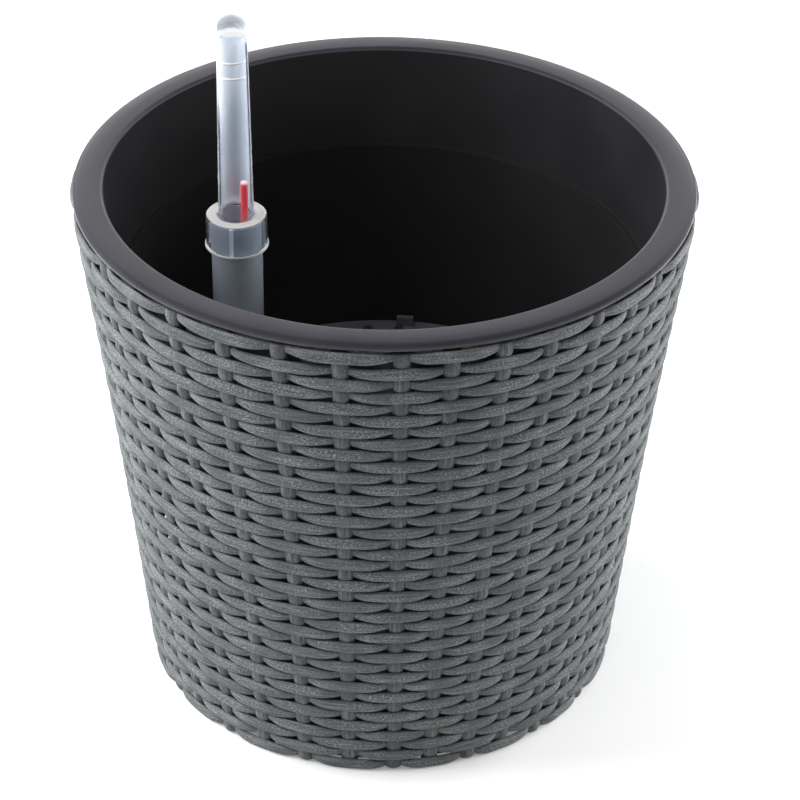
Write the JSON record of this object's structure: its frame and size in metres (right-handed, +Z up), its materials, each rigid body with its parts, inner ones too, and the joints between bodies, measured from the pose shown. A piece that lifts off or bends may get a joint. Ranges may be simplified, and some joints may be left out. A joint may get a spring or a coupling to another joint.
{
  "type": "self-watering pot",
  "caption": "Round tapered planter: a woven resin basket round a lift-out liner, with a false floor, wicking cups, a filling pipe and a clear float gauge.",
  "frame": {"origin": "on the ground under the middle of the pot", "axes": "+Z up the pot's axis, -X towards the gauge, -Y towards the viewer of the picture"},
  "size_m": [0.303, 0.303, 0.3567],
  "materials": {
    "wicker": "matt grey resin strand with a gritty surface",
    "board": "plain plywood",
    "liner_plastic": "satin black moulding",
    "seal_rubber": "soft black rubber",
    "insert_plastic": "satin charcoal moulding",
    "pipe_plastic": "smooth blue-grey pipe",
    "clear_plastic": "clear moulding",
    "float_plastic": "white foam",
    "red_plastic": "bright red rod with a pale end"
  },
  "bodies": {
    "basket": {"foot_border": "wicker", "base_board": "board", "stakes": "wicker", "weaver_01": "wicker", "weaver_02": "wicker", "weaver_03": "wicker", "weaver_04": "wicker", "weaver_05": "wicker", "weaver_06": "wicker", "weaver_07": "wicker", "weaver_08": "wicker", "weaver_09": "wicker", "weaver_10": "wicker", "weaver_11": "wicker", "weaver_12": "wicker", "weaver_13": "wicker", "weaver_14": "wicker", "weaver_15": "wicker", "weaver_16": "wicker", "weaver_17": "wicker", "weaver_18": "wicker", "weaver_19": "wicker", "weaver_20": "wicker", "weaver_21": "wicker", "weaver_22": "wicker", "weaver_23": "wicker", "weaver_24": "wicker", "weaver_25": "wicker", "weaver_26": "wicker", "weaver_27": "wicker", "weaver_28": "wicker", "weaver_29": "wicker", "weaver_30": "wicker", "weaver_31": "wicker", "weaver_32": "wicker", "weaver_33": "wicker", "weaver_34": "wicker", "weaver_35": "wicker", "weaver_36": "wicker", "weaver_37": "wicker", "top_border": "wicker"},
    "liner": {"liner_pot": "liner_plastic", "drain_plug": "liner_plastic", "drain_seal": "seal_rubber"},
    "insert": {"reservoir_plate": "insert_plastic", "wick_cup_1": "insert_plastic", "wick_cup_2": "insert_plastic", "wick_cup_3": "insert_plastic", "wick_cup_4": "insert_plastic", "standpipe": "pipe_plastic", "pipe_foot": "insert_plastic"},
    "gauge": {"gauge_cap": "clear_plastic"},
    "float": {"float": "float_plastic", "float_rod": "red_plastic"}
  },
  "joints": [
    {"name": "liner_lift", "type": "slide", "parent": "basket", "child": "liner", "axis": [0, 0, 1], "range_m": [0, 0.27]},
    {"name": "insert_lift", "type": "slide", "parent": "liner", "child": "insert", "axis": [0, 0, 1], "range_m": [0, 0.26]},
    {"name": "cap_lift", "type": "slide", "parent": "insert", "child": "gauge", "axis": [0, 0, 1], "range_m": [0, 0.1]},
    {"name": "float_rise", "type": "slide", "parent": "insert", "child": "float", "axis": [0, 0, 1], "range_m": [0, 0.06]}
  ]
}
